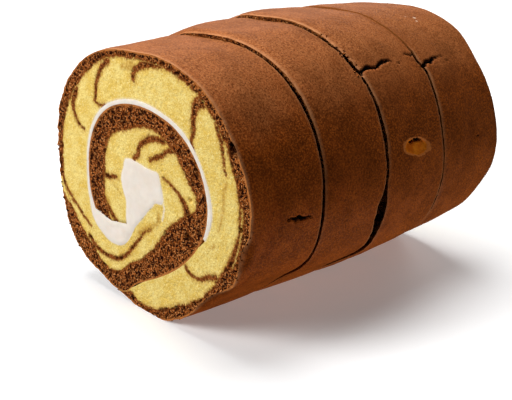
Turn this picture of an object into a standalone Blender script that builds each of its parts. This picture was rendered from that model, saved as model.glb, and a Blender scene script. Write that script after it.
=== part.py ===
"""Swiss roll cake, cut into four slices that still stand together as a roll.

One sheet of cake is wound nearly twice round a core of cream. The sheet has two
sponges: chocolate on its outer side, vanilla on its inner side. Each slice is three
closed solids: its chocolate sponge, its vanilla sponge and its cream.

Frame: the origin is under the middle of the roll, on the surface it rests on. +Y runs
along the roll from the front cut to the back, +Z is up. Built in metres.
"""

import math

import bmesh
import bpy
import numpy as np

# ---------------------------------------------------------------- driving dimensions, mm
MM = 0.001
LENGTH = 105.2            # front cut to back cut, along the roll
CORE_X = -2.3             # axis of the winding, left of the middle of the roll
CORE_Z = 40.6             # axis of the winding, above the surface
LAYER_GAP = 0.3           # clearance between sponges and cream
FLAT_DEPTH = 0.9          # how far the round underside is pressed flat
PULL_FROM = -14.0         # the belly is lifted below this height about the axis
EDGE_ROUND = 3.0          # length over which a skin edge rounds off towards its cut
FACET_LENGTH = 12.0       # an outline gets a point at least this often,
FACET_TURN = 16.0         # or for this many degrees of bend

# The wound sheet, from its inner end to the seam under the roll. Each row is a place
# along the winding: its direction from the axis in degrees (0 is +X, falling as the
# sheet winds clockwise), then the radii of the chocolate's outer side, of the line
# where chocolate meets vanilla, and of the vanilla's inner side.
WINDING = (
    (240.0, 29.0, 25.0, 16.5),
    (225.0, 28.4, 22.7, 11.5),
    (202.5, 27.8, 20.0, 10.5),
    (180.0, 26.4, 17.9, 10.2),
    (157.5, 25.8, 18.0, 8.9),
    (135.0, 25.3, 18.3, 8.6),
    (112.5, 24.3, 16.5, 8.0),
    (90.0, 24.0, 17.6, 7.0),
    (67.5, 25.0, 19.4, 7.7),
    (45.0, 27.1, 20.4, 9.0),
    (22.5, 28.4, 21.3, 8.9),
    (0.0, 28.6, 23.6, 8.9),
    (-11.0, 28.0, 18.9, 9.6),
    (-33.75, 26.1, 14.7, 9.3),
    (-56.25, 25.8, 15.4, 7.5),
    (-78.75, 27.8, 18.9, 9.1),
    (-90.0, 30.2, 21.8, 10.4),
    (-101.25, 35.0, 26.1, 12.5),
    (-107.0, 40.2, 28.6, 15.0),
    (-112.5, 41.6, 33.6, 23.6),
    (-123.75, 43.2, 38.0, 27.9),
    (-135.0, 46.0, 38.4, 30.5),
    (-146.25, 46.8, 39.7, 31.0),
    (-157.5, 45.4, 41.4, 29.4),
    (-180.0, 42.7, 40.4, 27.3),
    (-202.5, 43.0, 39.3, 26.9),
    (-225.0, 42.0, 37.9, 26.5),
    (-247.5, 40.4, 37.6, 25.5),
    (-270.0, 39.3, 36.9, 25.4),
    (-292.5, 41.9, 39.2, 26.3),
    (-315.0, 44.7, 41.5, 28.6),
    (-337.5, 45.6, 41.5, 29.6),
    (-360.0, 45.3, 40.8, 30.4),
    (-382.5, 42.8, 37.4, 27.8),
    (-405.0, 38.9, 36.3, 26.1),
    (-427.5, 40.0, 35.9, 26.6),
    (-450.0, 41.3, 38.4, 30.9),
    (-462.0, 40.3, 39.1, 36.9),
)
OUTER, MIDDLE, INNER = 1, 2, 3              # columns of the winding table
SHEET_START = {OUTER: 210.0, MIDDLE: 224.0, INNER: 240.0}   # slanted inner end
SKIN_START = -106.0                         # from here the chocolate is the cake's skin
CREAM_END = -377.0                          # the ring of cream stops here
UNDERSIDE = -41.3                           # lowest point of the winding

# Cuts, front to back: place along the roll, then lean towards +X and towards +Z (mm of
# offset at the radius CUT_REACH), and the width of the gap that the knife left.
CUT_REACH = 42.5
CUTS = (
    (0.0, 0.0, 0.0, 0.0),
    (23.6, 2.0, -0.9, 0.8),
    (46.9, 1.8, -0.8, 1.0),
    (75.5, 0.3, 0.5, 0.7),
    (105.2, 0.0, 0.0, 0.0),
)

# Slices, front to back. For the front and for the back cut of each: its size against the
# first cut face, and how far its axis lies to the right of and above the first one. Then
# how deep the skin rounds off at the slice's front edge.
SLICES = (
    ((1.002, 0.0, 0.1), (1.012, 1.8, 0.3), 0.2),
    ((1.059, 0.5, 0.3), (1.062, 2.5, 0.0), 1.0),
    ((1.115, 0.9, -0.7), (1.078, 1.8, -1.2), 1.0),
    ((1.086, 1.7, -1.1), (1.042, 1.9, -2.0), 0.4),
)
BACK_ROUND = 0.3          # how deep the skin rounds off at each slice's back edge

# name, colour, roughness
CHOCOLATE = ("chocolate sponge", (0.20, 0.075, 0.028), 0.85)
VANILLA = ("vanilla sponge", (0.86, 0.65, 0.22), 0.9)
CREAM = ("cream", (0.90, 0.78, 0.66), 0.45)


# ---------------------------------------------------------------- the wound sheet
def smooth_radius(column, angles):
    """Radius of one side of the sheet at winding angles, through the table's rows."""
    table = np.array(WINDING)[::-1]
    known, radii = table[:, 0], table[:, column]
    slopes = np.gradient(radii, known)
    at = np.clip(np.searchsorted(known, angles) - 1, 0, len(known) - 2)
    span = known[at + 1] - known[at]
    t = (angles - known[at]) / span
    return ((2 * t**3 - 3 * t**2 + 1) * radii[at] + (t**3 - 2 * t**2 + t) * span * slopes[at]
            + (3 * t**2 - 2 * t**3) * radii[at + 1] + (t**3 - t**2) * span * slopes[at + 1])


def even_facets(points):
    """Indices of the points to keep, so that facets follow both length and bend."""
    steps = np.diff(points, axis=0)
    lengths = np.hypot(steps[:, 0], steps[:, 1])
    headings = np.unwrap(np.arctan2(steps[:, 1], steps[:, 0]))
    bends = np.abs(np.diff(headings, prepend=headings[0]))
    effort = np.cumsum(lengths / FACET_LENGTH + np.degrees(bends) / FACET_TURN)
    effort = np.concatenate([[0.0], effort])
    wanted = np.linspace(0.0, effort[-1], int(effort[-1]) + 2)
    return np.unique(np.searchsorted(effort, wanted).clip(0, len(points) - 1))


def side_of_sheet(column):
    """Winding angles and (x, z) points of one side of the sheet, inner end to seam."""
    seam = WINDING[-1][0]
    angles = np.linspace(SHEET_START[column], seam, 1400)
    radii = smooth_radius(column, angles)
    turn = np.radians(angles)
    points = np.column_stack([radii * np.cos(turn), radii * np.sin(turn)])
    keep = even_facets(points)
    return angles[keep], points[keep]


def shifted(points, distance):
    """The same line moved sideways: outwards from the axis for a positive distance."""
    along = np.gradient(points, axis=0)
    along /= np.linalg.norm(along, axis=1, keepdims=True)
    return points + distance * np.column_stack([-along[:, 1], along[:, 0]])


def layer_outlines():
    """Closed (x, z) outlines of the three layers, and which points are outer skin."""
    outer_angles, outer = side_of_sheet(OUTER)
    middle = side_of_sheet(MIDDLE)[1]
    inner_angles, inner = side_of_sheet(INNER)
    half = LAYER_GAP / 2

    chocolate = np.vstack([shifted(outer, -half), shifted(middle, half)[::-1]])
    is_skin = np.concatenate([outer_angles < SKIN_START, np.zeros(len(middle), bool)])
    vanilla = np.vstack([shifted(middle, -half), shifted(inner, half)[::-1]])

    # Cream fills the core, runs out round the sheet's inner end, and on as a ring.
    core = shifted(inner, -half)[inner_angles > CREAM_END][::-1]
    ring = shifted(outer, half)[outer_angles > CREAM_END + 360.0]
    corner = middle[0]
    end_side = shifted(np.array([core[-1], corner, ring[0]]), 2 * half)
    cream = np.vstack([core[:-1], end_side, ring[1:]])
    return (("chocolate_sponge", CHOCOLATE, chocolate, is_skin),
            ("vanilla_sponge", VANILLA, vanilla, np.zeros(len(vanilla), bool)),
            ("cream", CREAM, cream, np.zeros(len(cream), bool)))


# ---------------------------------------------------------------- slices
def rest_on_surface(z, underside):
    """Lift the belly smoothly, so that a slice of any size comes down to the surface."""
    depth = np.maximum(PULL_FROM - z, 0.0)
    reach = PULL_FROM - underside
    allowed = PULL_FROM + CORE_Z + FLAT_DEPTH
    return z + (reach - allowed) * (depth / reach) ** 2


def cut_face(outline, number, end):
    """Points of a layer's outline on one cut of a slice: end 0 is its front, 1 its back."""
    size, right, up = SLICES[number][end]
    x = outline[:, 0] * size + right
    z = rest_on_surface(outline[:, 1] * size + up, UNDERSIDE * size + up)
    place, lean_x, lean_z, gap = CUTS[number + end]
    y = place + gap * (0.5 - end) + (lean_x * x + lean_z * z) / CUT_REACH
    return np.column_stack([x, y, z])


def station(front, back, is_skin, share, inset):
    """A ring of points part of the way from a slice's front cut to its back cut."""
    ring = front + (back - front) * share
    radius = np.hypot(ring[:, 0], ring[:, 2])
    ring[:, (0, 2)] *= (1.0 - inset * is_skin / radius)[:, None]
    ring += (CORE_X, -LENGTH / 2, CORE_Z)
    ring[:, 2] = np.maximum(ring[:, 2], 0.0)
    return ring * MM


def slice_stations(number, has_skin):
    """Shares of the way through a slice, and how far the skin is set in at each."""
    if not has_skin:
        return ((0.0, 0.0), (1.0, 0.0))
    edge = EDGE_ROUND / (CUTS[number + 1][0] - CUTS[number][0])
    return ((0.0, SLICES[number][2]), (edge, 0.0), (1.0 - edge, 0.0), (1.0, BACK_ROUND))


def loft(name, rings):
    """Closed mesh through equal rings of points, capped at both ends."""
    mesh_builder = bmesh.new()
    rows = [[mesh_builder.verts.new(point) for point in ring] for ring in rings]
    count = len(rows[0])
    for near, far in zip(rows, rows[1:]):
        for i in range(count):
            j = (i + 1) % count
            mesh_builder.faces.new((near[i], near[j], far[j], far[i]))
    mesh_builder.faces.new(rows[0][::-1])
    mesh_builder.faces.new(rows[-1])
    bmesh.ops.recalc_face_normals(mesh_builder, faces=mesh_builder.faces)
    bmesh.ops.triangulate(mesh_builder, faces=mesh_builder.faces)
    mesh = bpy.data.meshes.new(name)
    mesh_builder.to_mesh(mesh)
    mesh_builder.free()
    return mesh


def food_material(name, colour, roughness):
    material = bpy.data.materials.new(name)
    material.use_nodes = True
    shader = material.node_tree.nodes["Principled BSDF"]
    shader.inputs["Base Color"].default_value = (*colour, 1.0)
    shader.inputs["Roughness"].default_value = roughness
    shader.inputs["Metallic"].default_value = 0.0
    return material


def build_slice(number, layers, materials):
    """The three solids of one slice."""
    for layer_name, look, outline, is_skin in layers:
        front, back = (cut_face(outline, number, end) for end in (0, 1))
        rings = [station(front, back, is_skin, share, inset)
                 for share, inset in slice_stations(number, is_skin.any())]
        name = f"{layer_name}_{number + 1}"
        mesh = loft(name, rings)
        mesh.materials.append(materials[look[0]])
        mesh.shade_smooth()
        mesh.set_sharp_from_angle(angle=math.radians(38.0))
        layer = bpy.data.objects.new(name, mesh)
        bpy.context.scene.collection.objects.link(layer)


def main():
    for old in list(bpy.data.objects):
        bpy.data.objects.remove(old, do_unlink=True)
    layers = layer_outlines()
    materials = {look[0]: food_material(*look) for _, look, _, _ in layers}
    for number in range(len(SLICES)):
        build_slice(number, layers, materials)


main()
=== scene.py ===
"""The look of a sliced swiss roll cake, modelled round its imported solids.

Every slice gets a chocolate piece, a vanilla piece and a cream piece, meshed finely
enough for the crumb on the cuts and for the cracks in the baked skin. Lengths are in
millimetres until a mesh is written.
"""

import math

import bpy
import numpy as np
from mathutils import Matrix, Vector
from mathutils.geometry import delaunay_2d_cdt


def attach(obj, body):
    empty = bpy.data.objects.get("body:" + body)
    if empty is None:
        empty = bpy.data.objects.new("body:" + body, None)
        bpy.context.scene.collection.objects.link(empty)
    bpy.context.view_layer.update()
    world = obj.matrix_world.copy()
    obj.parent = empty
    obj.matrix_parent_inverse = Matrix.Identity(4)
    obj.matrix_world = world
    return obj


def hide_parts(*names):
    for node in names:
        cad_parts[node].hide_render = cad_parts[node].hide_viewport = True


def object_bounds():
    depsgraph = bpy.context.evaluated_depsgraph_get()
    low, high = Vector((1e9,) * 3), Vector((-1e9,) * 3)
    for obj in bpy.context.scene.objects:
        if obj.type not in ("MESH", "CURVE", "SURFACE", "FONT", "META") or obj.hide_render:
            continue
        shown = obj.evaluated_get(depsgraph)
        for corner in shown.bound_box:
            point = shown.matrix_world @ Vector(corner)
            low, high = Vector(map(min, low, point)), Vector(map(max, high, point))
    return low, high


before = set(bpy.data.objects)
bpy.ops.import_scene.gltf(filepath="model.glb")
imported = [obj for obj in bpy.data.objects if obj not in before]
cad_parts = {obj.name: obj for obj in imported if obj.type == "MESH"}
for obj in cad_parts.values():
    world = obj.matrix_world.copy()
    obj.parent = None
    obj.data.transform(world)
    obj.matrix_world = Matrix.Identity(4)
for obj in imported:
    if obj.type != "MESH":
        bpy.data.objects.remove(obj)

CAD_LOW, CAD_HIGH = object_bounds()

# ---------------------------------------------------------------- the roll, mm
MM = 0.001
LENGTH = (CAD_HIGH.y - CAD_LOW.y) / MM
CORE_X = -2.3             # axis of the winding, left of the middle of the roll
CORE_Z = 40.6             # axis of the winding, above the surface
FLAT_DEPTH = 0.9          # how far the round underside is pressed flat
PULL_FROM = -14.0         # the belly is lifted below this height about the axis
UNDERSIDE = -41.3         # lowest point of the winding
BACK_ROUND = 0.15         # how deep the skin rounds off at each slice's back edge
EDGE_ROUND = 3.5          # length over which a skin edge rounds off towards its cut
# Painted shade: the brown reaches this much deeper into the vanilla on the cuts between slices, darkening them
# like the shade in the gaps.
PAINTED_GAP_BROWN = 1.3       # how much deeper the brown goes on the cuts between slices

# The wound sheet, from its inner end to the seam under the roll: direction from the
# axis in degrees (falling as the sheet winds clockwise), then the radii of the
# chocolate's outer side, of the line between the sponges, and of the vanilla's inner side.
WINDING = (
    (240.0, 29.0, 25.0, 16.5),
    (225.0, 28.4, 22.7, 11.2),
    (202.5, 27.8, 20.0, 9.9),
    (180.0, 26.4, 17.9, 9.8),
    (157.5, 25.8, 18.0, 9.2),
    (139.0, 25.4, 18.2, 9.7),
    (124.0, 24.8, 17.2, 8.5),
    (112.5, 24.3, 16.5, 7.5),
    (90.0, 24.0, 17.6, 6.6),
    (67.5, 25.0, 19.4, 6.7),
    (50.0, 26.7, 20.2, 8.0),
    (40.0, 27.5, 20.7, 9.5),
    (22.5, 28.4, 21.3, 9.2),
    (0.0, 28.6, 23.6, 9.4),
    (-11.0, 28.0, 18.9, 9.7),
    (-19.0, 27.3, 17.0, 9.2),
    (-27.0, 26.6, 15.6, 7.4),
    (-50.0, 25.7, 14.8, 6.7),
    (-78.75, 27.8, 18.9, 8.0),
    (-90.0, 30.2, 21.8, 9.6),
    (-101.25, 35.0, 26.1, 12.4),
    (-107.0, 40.2, 28.6, 15.0),
    (-112.5, 41.6, 33.6, 21.5),
    (-123.75, 43.2, 38.0, 27.6),
    (-135.0, 46.0, 38.4, 30.0),
    (-146.25, 46.8, 39.7, 31.0),
    (-157.5, 45.4, 41.4, 29.4),
    (-180.0, 43.3, 40.4, 27.3),
    (-202.5, 43.6, 39.3, 26.9),
    (-225.0, 42.2, 37.9, 26.5),
    (-247.5, 40.4, 37.6, 25.5),
    (-270.0, 39.3, 36.9, 25.4),
    (-292.5, 41.9, 39.2, 26.3),
    (-315.0, 44.7, 41.5, 28.6),
    (-337.5, 45.6, 41.5, 29.6),
    (-360.0, 45.3, 40.8, 30.4),
    (-382.5, 42.8, 37.4, 27.8),
    (-405.0, 38.9, 36.3, 26.1),
    (-427.5, 40.0, 35.9, 26.6),
    (-450.0, 41.3, 38.4, 30.5),
    (-458.0, 41.0, 38.5, 33.7),
    (-462.0, 41.0, 37.2, 35.8),
    (-465.0, 41.0, 38.5, 38.1),
    (-468.0, 41.2, 40.2, 40.0),
    (-471.0, 41.5, 41.2, 41.0),
)
OUTER, MIDDLE, INNER = 1, 2, 3              # columns of the winding table
SHEET_START = {OUTER: 210.0, MIDDLE: 224.0, INNER: 240.0}   # slanted inner end
INNER_END = 225.0                           # the inner end, on average
END_SLANT = 60.0                            # the slant is gone this many degrees on
SEAM = WINDING[-1][0]
SKIN_START = -106.0                         # from here the chocolate is the cake's skin
CREAM_END = -377.0                          # the ring of cream stops here
SEAM_TIP = -460.0                           # from here the sheet thins out to its seam

# Cuts, front to back: place along the roll and lean towards +X and +Z at CUT_REACH from
# the axis. Then, for directions round the axis in degrees: how far the knife wandered,
# how wide the cut gapes, how deep the skin behind it rounds off, and how frayed it is, mm.
CUT_REACH = 42.5
WANDER, GAP, ROUNDING, FRAYED = 1, 2, 3, 4
CUTS = (
    (0.0, 0.0, 0.0, (
        (-180, 0.0, 0.0, 0.5, 0.8), (-150, 0.0, 0.0, 0.3, 0.5), (-110, 0.0, 0.0, 0.3, 0.25),
        (-60, 0.0, 0.0, 0.3, 0.4), (-36, 0.0, 0.0, 1.8, 0.4), (-26, 0.0, 0.0, 0.1, 0.3),
        (-19, 0.0, 0.0, 0.8, 0.4), (-14, 0.0, 0.0, 2.1, 0.4), (-8, 0.0, 0.0, 2.3, 0.4),
        (-3, 0.0, 0.0, 0.6, 0.3), (2, 0.0, 0.0, -0.1, 0.25), (28, 0.0, 0.0, 0.2, 0.15),
        (60, 0.0, 0.0, 0.2, 0.05), (110, 0.0, 0.0, 0.2, 0.05), (150, 0.0, 0.0, 0.4, 0.35),
        (170, 0.0, 0.0, 0.5, 0.8), (180, 0.0, 0.0, 0.5, 0.8))),
    (23.6, 2.0, -0.9, (
        (-180, 0.0, 0.4, 0.5, 0.15), (-60, 0.0, 0.2, 0.4, 0.1), (-20, 0.3, 0.2, 0.4, 0.06),
        (0, -1.0, 0.5, 0.5, 0.08), (20, 0.2, 0.8, 0.6, 0.1), (50, 1.0, 0.8, 0.8, 0.15),
        (75, 0.8, 0.5, 0.9, 0.2), (100, 1.3, 0.2, 0.9, 0.12), (130, 1.6, 0.2, 0.9, 0.15),
        (180, 0.0, 0.7, 0.6, 0.2))),
    (46.9, 1.8, -0.8, (
        (-180, 0.0, 0.6, 0.7, 0.2), (-60, 0.0, 0.7, 0.7, 0.2), (-22, -0.2, 1.0, 0.5, 0.2),
        (-15, -1.2, 2.0, 0.4, 0.25), (-9, -1.9, 3.1, 0.3, 0.2), (-4, -2.0, 2.9, 0.3, 0.2),
        (1, -1.3, 0.9, 0.4, 0.2), (10, -0.5, 0.9, 0.5, 0.3), (20, 0.3, 1.5, 0.6, 0.15), (30, 1.1, 0.8, 0.6, 0.15),
        (39, 1.1, 0.8, 0.7, 0.4), (45, 0.6, 1.5, 0.8, 0.8), (52, 0.6, 0.9, 0.9, 0.7),
        (62, 0.7, 1.0, 0.7, 0.3), (90, 1.2, 1.2, 0.5, 0.15), (130, 1.0, 1.0, 0.6, 0.2),
        (180, 0.0, 0.8, 0.8, 0.3))),
    (75.5, 0.3, 0.5, (
        (-180, 0.0, 0.6, 0.5, 0.2), (-40, 0.2, 1.0, 0.6, 0.15), (-20, 0.4, 1.1, 0.6, 0.15),
        (-10, -0.2, 1.2, 0.7, 0.15), (0, -0.5, 1.0, 0.7, 0.15), (10, -0.9, 0.8, 0.7, 0.15),
        (20, -0.6, 0.8, 0.7, 0.2), (30, 0.0, 0.9, 0.6, 0.25), (38, 0.2, 0.9, 0.5, 0.3),
        (41, -0.8, 0.8, 0.3, 0.4), (44, -0.8, 0.5, 0.2, 0.3), (48, -0.8, 0.0, 0.1, 0.0),
        (60, -0.5, -0.06, 0.1, 0.0), (90, -0.3, -0.06, 0.15, 0.0), (130, 0.0, 0.2, 0.3, 0.1),
        (180, 0.0, 0.6, 0.5, 0.2))),
    (LENGTH, 0.0, 0.0, (
        (-180, -1.0, 0.0, 0.8, 0.3), (-60, -3.5, 0.0, 0.8, 0.3), (-25, -4.0, 0.0, 0.8, 0.15),
        (-14, -3.0, 0.0, 0.9, 0.0), (-7, -0.6, 0.0, 0.8, 0.0), (2, 0.2, 0.0, 0.8, 0.0),
        (24, -0.7, 0.0, 0.8, 0.0), (38, -1.8, 0.0, 0.8, 0.0), (52, -0.6, 0.0, 0.8, 0.0),
        (70, 0.0, 0.0, 0.8, 0.0), (92, -0.9, 0.0, 0.8, 0.0), (130, 0.0, 0.0, 0.8, 0.15),
        (180, -1.0, 0.0, 0.8, 0.3))),
)

# Slices, front to back: for the front and the back cut of each, its size against the
# first cut face and the place of its axis to the right and above.
SLICES = (
    ((1.002, 0.0, 0.1), (1.012, 1.8, 0.3)),
    ((1.059, 0.5, 0.3), (1.062, 2.5, 0.0)),
    ((1.115, 0.9, -0.7), (1.078, 1.8, -1.2)),
    ((1.086, 1.7, -1.1), (1.042, 1.9, -2.0)),
)

# Where a slice's rim has sunk at its front (0) or back (1) cut, by direction round the
# axis; mm, negative where the rim stands up. It evens out over SINK_LENGTH.
SINK_LENGTH = 20.0
SUNKEN = {
    (1, 0): ((-180, 0.0), (70, 0.0), (80, 0.0), (98, 0.8), (105, 2.0), (110, 3.8), (116, 5.2), (122, 4.6),
             (132, 2.8), (146, 0.8), (160, 0.0), (180, 0.0)),
    (2, 0): ((-180, 0.0), (78, 0.0), (88, 0.0), (100, 0.4), (105, 1.0), (110, 2.6), (116, 4.0), (122, 3.3),
             (132, 1.6), (146, 0.3), (160, 0.0), (180, 0.0)),
    (3, 0): ((-180, 0.0), (82, 0.0), (92, 0.0), (104, 0.6), (112, 1.3), (122, 1.3), (140, 0.3), (160, 0.0),
             (180, 0.0)),
    (3, 1): ((-180, 0.0), (0, 0.0), (12, 0.0), (35, -0.4), (50, -0.8), (70, -0.8), (90, -0.3),
             (104, 0.0), (115, 0.0), (180, 0.0)),
}

# Brown streaks in the vanilla: width at the start and the end, then the places that the
# streak runs through, in mm to the right of the axis and above it.
STREAKS = (
    (2.0, 1.2, ((-13.6, 34.6), (-16.0, 32.5), (-18.7, 28.7), (-20.5, 23.3), (-21.0, 21.0))),
    (1.2, 0.9, ((-21.0, 21.0), (-18.3, 20.2), (-15.2, 20.7))),
    (2.6, 1.5, ((-30.6, 22.6), (-32.1, 19.3), (-32.7, 16.7), (-32.0, 14.0))),
    (1.5, 0.8, ((-32.0, 14.0), (-30.5, 12.0), (-28.7, 11.0), (-27.4, 10.7))),
    (1.8, 2.3, ((-1.7, 31.4), (-1.2, 33.2), (1.0, 35.0), (3.7, 36.3))),
    (2.0, 2.2, ((3.7, 36.3), (6.7, 37.0), (10.5, 37.3))),
    (4.0, 2.0, ((28.6, 31.6), (26.3, 30.6), (24.3, 28.0), (23.7, 25.0))),
    (2.0, 1.1, ((23.7, 25.0), (23.3, 22.0), (22.7, 19.3), (23.2, 16.8))),
    (1.8, 0.8, ((32.8, 26.0), (33.9, 23.3), (34.7, 20.7), (35.1, 18.0), (35.6, 15.3), (36.3, 13.5))),
    (1.5, 2.0, ((-3.2, 7.7), (-1.3, 9.3), (-0.5, 11.7), (1.0, 13.3), (3.0, 14.7), (5.3, 15.7),
                (10.5, 16.2))),
    (1.1, 1.8, ((4.4, 9.0), (6.7, 10.0), (8.7, 11.3), (10.7, 12.7), (12.3, 13.7), (15.0, 14.4))),
    (0.6, 1.4, ((9.9, 5.5), (12.0, 4.7), (14.7, 3.5), (17.0, 2.0))),
    (1.4, 4.4, ((17.0, 2.0), (18.9, 0.0), (20.2, -3.0), (20.2, -7.0))),
    (2.2, 1.1, ((-18.4, -1.2), (-16.1, -1.4), (-12.3, -0.4))),
    (2.2, 1.6, ((-18.4, -10.2), (-16.2, -12.8), (-13.2, -14.8))),
    (1.5, 0.9, ((-42.4, -3.5), (-41.3, -8.0), (-40.3, -10.7), (-38.3, -12.7), (-35.7, -15.2),
                (-33.0, -17.2), (-30.0, -19.5), (-27.3, -21.0))),
    (1.8, 1.3, ((-28.6, -24.8), (-25.3, -27.0), (-22.7, -28.0), (-19.3, -28.4), (-16.0, -28.0),
                (-13.3, -27.3), (-9.7, -25.0), (-5.3, -20.7))),
    (1.3, 0.5, ((-5.3, -20.7), (-3.3, -18.0), (-1.3, -15.9), (0.7, -14.0), (3.3, -12.3))),
    (1.0, 1.7, ((18.7, -18.6), (19.7, -20.0), (22.0, -20.9), (24.7, -20.7), (27.3, -19.4),
                (31.5, -17.7))),
)

# The same for faint tan smears in the vanilla, for yellow in the chocolate, and for a
# line of cream in the vanilla.
SMEARS = (
    (1.6, 2.8, ((-7.0, 33.7), (-4.7, 34.4), (-1.9, 35.1))),
    (1.2, 0.9, ((36.1, 11.0), (35.3, 8.0), (35.0, 4.7), (34.0, 0.0), (32.9, -3.7))),
    (0.6, 0.5, ((-14.0, -3.3), (-12.3, -4.0), (-10.7, -5.3))),
    (1.8, 1.2, ((-17.5, -9.0), (-16.6, -12.5), (-15.0, -15.0))),
    (2.2, 1.4, ((-2.0, -15.5), (1.0, -13.2), (4.0, -11.2), (6.5, -9.4), (7.4, -6.5))),
    (1.0, 0.8, ((31.0, -8.3), (29.4, -9.6))),
)
BARE = (
    (2.8, 1.6, ((-42.9, -9.8), (-41.0, -13.0), (-39.0, -15.6))),
    (0.5, 0.4, ((36.2, 21.8), (36.9, 18.5), (37.6, 15.3), (38.2, 12.5))),
    (0.45, 0.35, ((42.0, 5.3), (41.9, 1.3), (41.3, -2.7), (40.7, -6.7), (39.3, -10.0), (37.7, -12.7))),
    (0.7, 0.5, ((31.0, -19.6), (28.6, -21.0))),
)
CREAM_LINE = (
    (0.9, 0.6, ((9.2, 0.0), (9.8, -2.7), (9.6, -5.0), (8.6, -8.0))),
)

# Big pores in the chocolate, sunk into the cut and darkened with painted shade: mm to the right of the axis, mm
# above it, radius.
PORES = ((39.2, 21.2, 1.8), (19.7, -9.7, 1.4), (21.5, 2.0, 0.7), (24.0, 11.3, 0.7), (41.6, -0.6, 0.8))

# Splits in the skin: width at the start and the end, then (mm along the roll, degrees).
SPLITS = (
    (1.1, 0.9, ((48.9, 40.6), (50.4, 41.3), (51.8, 42.4), (53.2, 42.0), (54.6, 41.7), (56.8, 41.9))),
    (0.9, 1.1, ((56.8, 41.9), (58.2, 42.8), (59.3, 43.2), (61.1, 42.8))),
    (1.1, 0.2, ((61.1, 42.8), (62.5, 43.6), (63.6, 43.0), (64.6, 42.8))),
    (0.4, 0.3, ((66.0, 41.7), (67.1, 41.8))),
    (0.2, 0.8, ((71.0, 44.6), (72.3, 44.9), (73.4, 44.6), (74.8, 44.0))),
    (1.2, 1.1, ((76.2, 38.8), (77.3, 38.9), (79.0, 39.6), (80.7, 39.8), (82.5, 40.5))),
    (1.1, 0.2, ((82.5, 40.5), (83.9, 41.1), (85.4, 41.2), (86.8, 40.9), (87.6, 41.0))),
    (0.3, 0.3, ((88.4, 38.8), (89.2, 38.9))),
    (0.3, 0.2, ((93.8, 40.9), (95.0, 41.0))),
    (0.5, 1.2, ((12.6, 0.0), (14.0, 0.2), (15.4, -0.5), (16.6, -0.4))),
    (1.2, 0.4, ((16.6, -0.4), (17.8, -1.2), (19.0, -0.9), (21.0, -1.7))),
    (0.3, 0.2, ((15.0, -1.3), (16.4, -1.6), (17.6, -1.9))),
    (0.5, 0.7, ((58.6, 14.6), (60.4, 15.2), (62.4, 15.1))),
    (0.7, 0.4, ((62.4, 15.1), (63.6, 14.7), (65.0, 14.0))),
    (0.5, 0.2, ((92.2, 9.0), (94.8, 9.3))),
)
CRUMB_RADIUS = 0.55       # the largest loose crumb, mm
CRUMBS_PER_FRAY = 6e5     # crumbs on a m2 of rim, for each mm that the rim is frayed
RIM_ROWS = 4              # rows of a cut's mesh, in from the rim, that hold loose crumbs
COLUMN_STEPS = ((0.5, 0.42), (1.6, 0.42), (1.6, 0.42), (0.5, 0.42))   # chocolate, inner and outer turn, mm
# Painted glints: small pale highlight spots on the skin.
PAINTED_GLINTS = ((93.6, 63.4, 0.7), (92.4, 60.8, 0.6), (90.8, 65.2, 0.4))   # mm along the roll, degrees, radius
TORN = ((61.6, 12.7), (6.2, 3.0), -0.17)   # torn skin: centre (mm, degrees), half sizes, slant


# ---------------------------------------------------------------- random fields
def hashed(column, row, seed):
    """A number from 0 to 1 for every square of an endless board."""
    mixed = (column.astype(np.int64) * 374761393 + row.astype(np.int64) * 668265263
             + seed * 362437)
    mixed = ((mixed ^ (mixed >> 13)) * 1274126177) & 0x7FFFFFFF
    mixed = ((mixed ^ (mixed >> 15)) * 668265263) & 0x7FFFFFFF
    return ((mixed >> 7) & 0xFFFF) / 0xFFFF


def lumps(x, y, size, seed):
    """Smooth unevenness from about -1 to 1, with lumps of one size."""
    column, row = np.floor(x / size), np.floor(y / size)
    right, up = x / size - column, y / size - row
    ease_x = right**3 * (right * (6 * right - 15) + 10)
    ease_y = up**3 * (up * (6 * up - 15) + 10)
    total = np.zeros_like(x)
    for step_x in (0, 1):
        for step_y in (0, 1):
            turn = 2 * np.pi * hashed(column + step_x, row + step_y, seed)
            slope = np.cos(turn) * (right - step_x) + np.sin(turn) * (up - step_y)
            total += slope * np.abs(1 - step_x - ease_x) * np.abs(1 - step_y - ease_y)
    return 1.5 * total


def rough(x, y, size, seed, octaves=3):
    """Unevenness with finer and finer lumps."""
    total, weight = np.zeros_like(x), 1.0
    for octave in range(octaves):
        total += weight * lumps(x + 7.3 * octave, y - 3.1 * octave, size, seed + octave)
        size, weight = size * 0.47, weight * 0.55
    return total


def pits(x, y, spacing, share, seed):
    """Round pits scattered at a spacing: 0 outside, up to 1 at a pit's bottom."""
    column, row = np.floor(x / spacing), np.floor(y / spacing)
    depth = np.zeros_like(x)
    for step_x in (-1, 0, 1):
        for step_y in (-1, 0, 1):
            near_column, near_row = column + step_x, row + step_y
            number = hashed(near_column, near_row, seed)
            centre_x = (near_column + 0.2 + 0.6 * hashed(near_column, near_row, seed + 1)) * spacing
            centre_y = (near_row + 0.2 + 0.6 * hashed(near_column, near_row, seed + 2)) * spacing
            radius = spacing * (0.16 + 0.34 * hashed(near_column, near_row, seed + 3) ** 2)
            away = np.hypot(x - centre_x, y - centre_y) / radius
            pit = np.clip(1 - away**2, 0, 1) * (number < share)
            depth = np.maximum(depth, pit)
    return depth


# ---------------------------------------------------------------- the wound sheet
def through(known, values, at):
    """A smooth line through known values, read at other places."""
    known, values = np.asarray(known, float), np.asarray(values, float)
    if known[0] > known[-1]:
        known, values = known[::-1], values[::-1]
    slopes = np.gradient(values, known)
    left = np.clip(np.searchsorted(known, at) - 1, 0, len(known) - 2)
    span = known[left + 1] - known[left]
    t = np.clip((at - known[left]) / span, 0, 1)
    return ((2 * t**3 - 3 * t**2 + 1) * values[left] + (t**3 - 2 * t**2 + t) * span * slopes[left]
            + (3 * t**2 - 2 * t**3) * values[left + 1] + (t**3 - t**2) * span * slopes[left + 1])


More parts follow.
